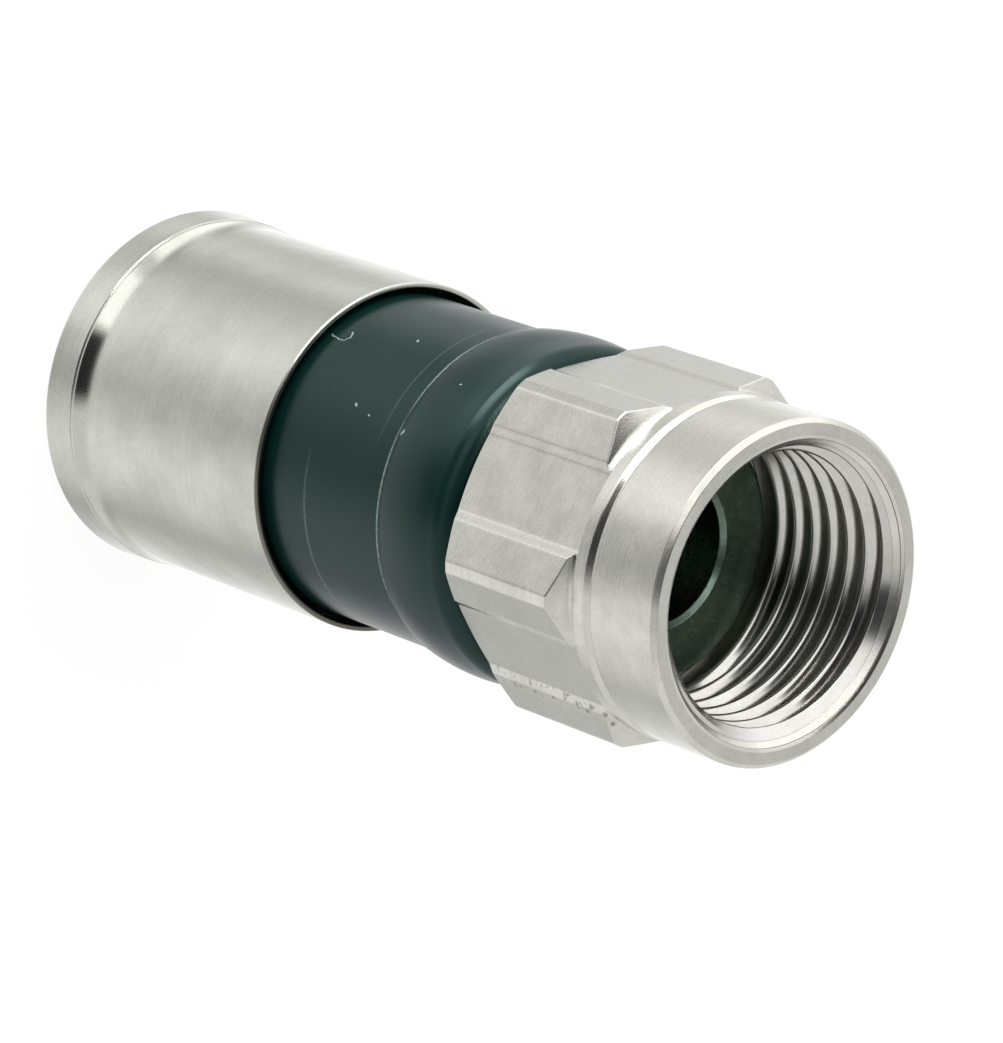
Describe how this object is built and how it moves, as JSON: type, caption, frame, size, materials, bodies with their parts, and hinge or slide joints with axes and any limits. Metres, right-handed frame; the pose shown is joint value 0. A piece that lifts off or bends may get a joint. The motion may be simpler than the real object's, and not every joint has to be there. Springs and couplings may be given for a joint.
{
  "type": "compression f connector",
  "caption": "Compression F connector for coaxial cable: a hexagonal threaded coupling nut, a plastic body and a plated sleeve that slides forward to grip the cable.",
  "frame": {"origin": "centre of the flat end of the sleeve's rear rim, on the connector's axis", "axes": "+Z along the axis from the cable end to the coupling nut; +X is square to one flat of the hexagon"},
  "size_m": [0.0122, 0.0126, 0.03],
  "materials": {
    "sleeve_plating": "satin nickel plating",
    "nut_plating": "satin nickel plating",
    "post_plating": "dull tin plating",
    "body_plastic": "smooth satin",
    "seal_rubber": "matte"
  },
  "bodies": {
    "shell": {"connector_body": "body_plastic", "post": "post_plating", "seal_ring": "seal_rubber"},
    "nut": {"coupling_nut": "nut_plating"},
    "sleeve": {"compression_sleeve": "sleeve_plating"}
  },
  "joints": [
    {"name": "nut_spin", "type": "hinge", "parent": "shell", "child": "nut", "pos_m": [0, 0, 0.025], "axis": [0, 0, 1], "continuous": true},
    {"name": "sleeve_slide", "type": "slide", "parent": "shell", "child": "sleeve", "axis": [0, 0, 1], "range_m": [0, 0.0056]}
  ]
}
